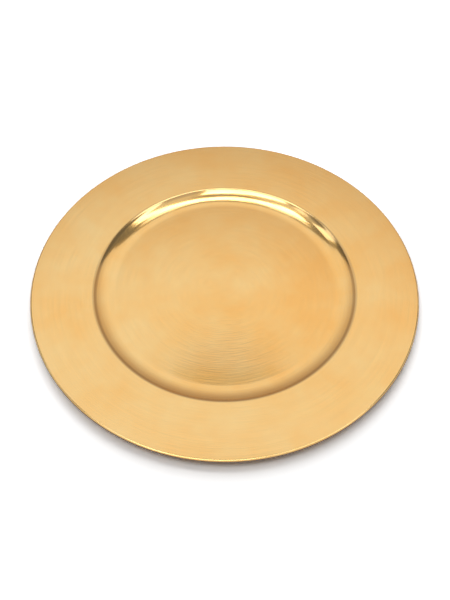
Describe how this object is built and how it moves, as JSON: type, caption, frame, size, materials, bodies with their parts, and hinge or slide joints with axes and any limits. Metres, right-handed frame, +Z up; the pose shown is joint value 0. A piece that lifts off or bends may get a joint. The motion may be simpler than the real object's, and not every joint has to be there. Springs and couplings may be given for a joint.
{
  "type": "charger plate",
  "caption": "Round charger plate with a wide, gently rising rim, a shallow well and a brushed gold face, laid on a table under a dinner plate.",
  "frame": {"origin": "on the table plane, under the centre of the plate", "axes": "+Z up along the plate's axis of rotation; +X and +Y lie in the table plane, midway between neighbouring pads"},
  "size_m": [0.33, 0.33, 0.0133],
  "materials": {
    "gold_facing": "gloss",
    "moulded_body": "satin",
    "non_slip_pad": "matte"
  },
  "bodies": {
    "root": {"plate_body": "moulded_body", "gold_facing": "gold_facing", "non_slip_pad_1": "non_slip_pad", "non_slip_pad_2": "non_slip_pad", "non_slip_pad_3": "non_slip_pad", "non_slip_pad_4": "non_slip_pad"}
  },
  "joints": []
}
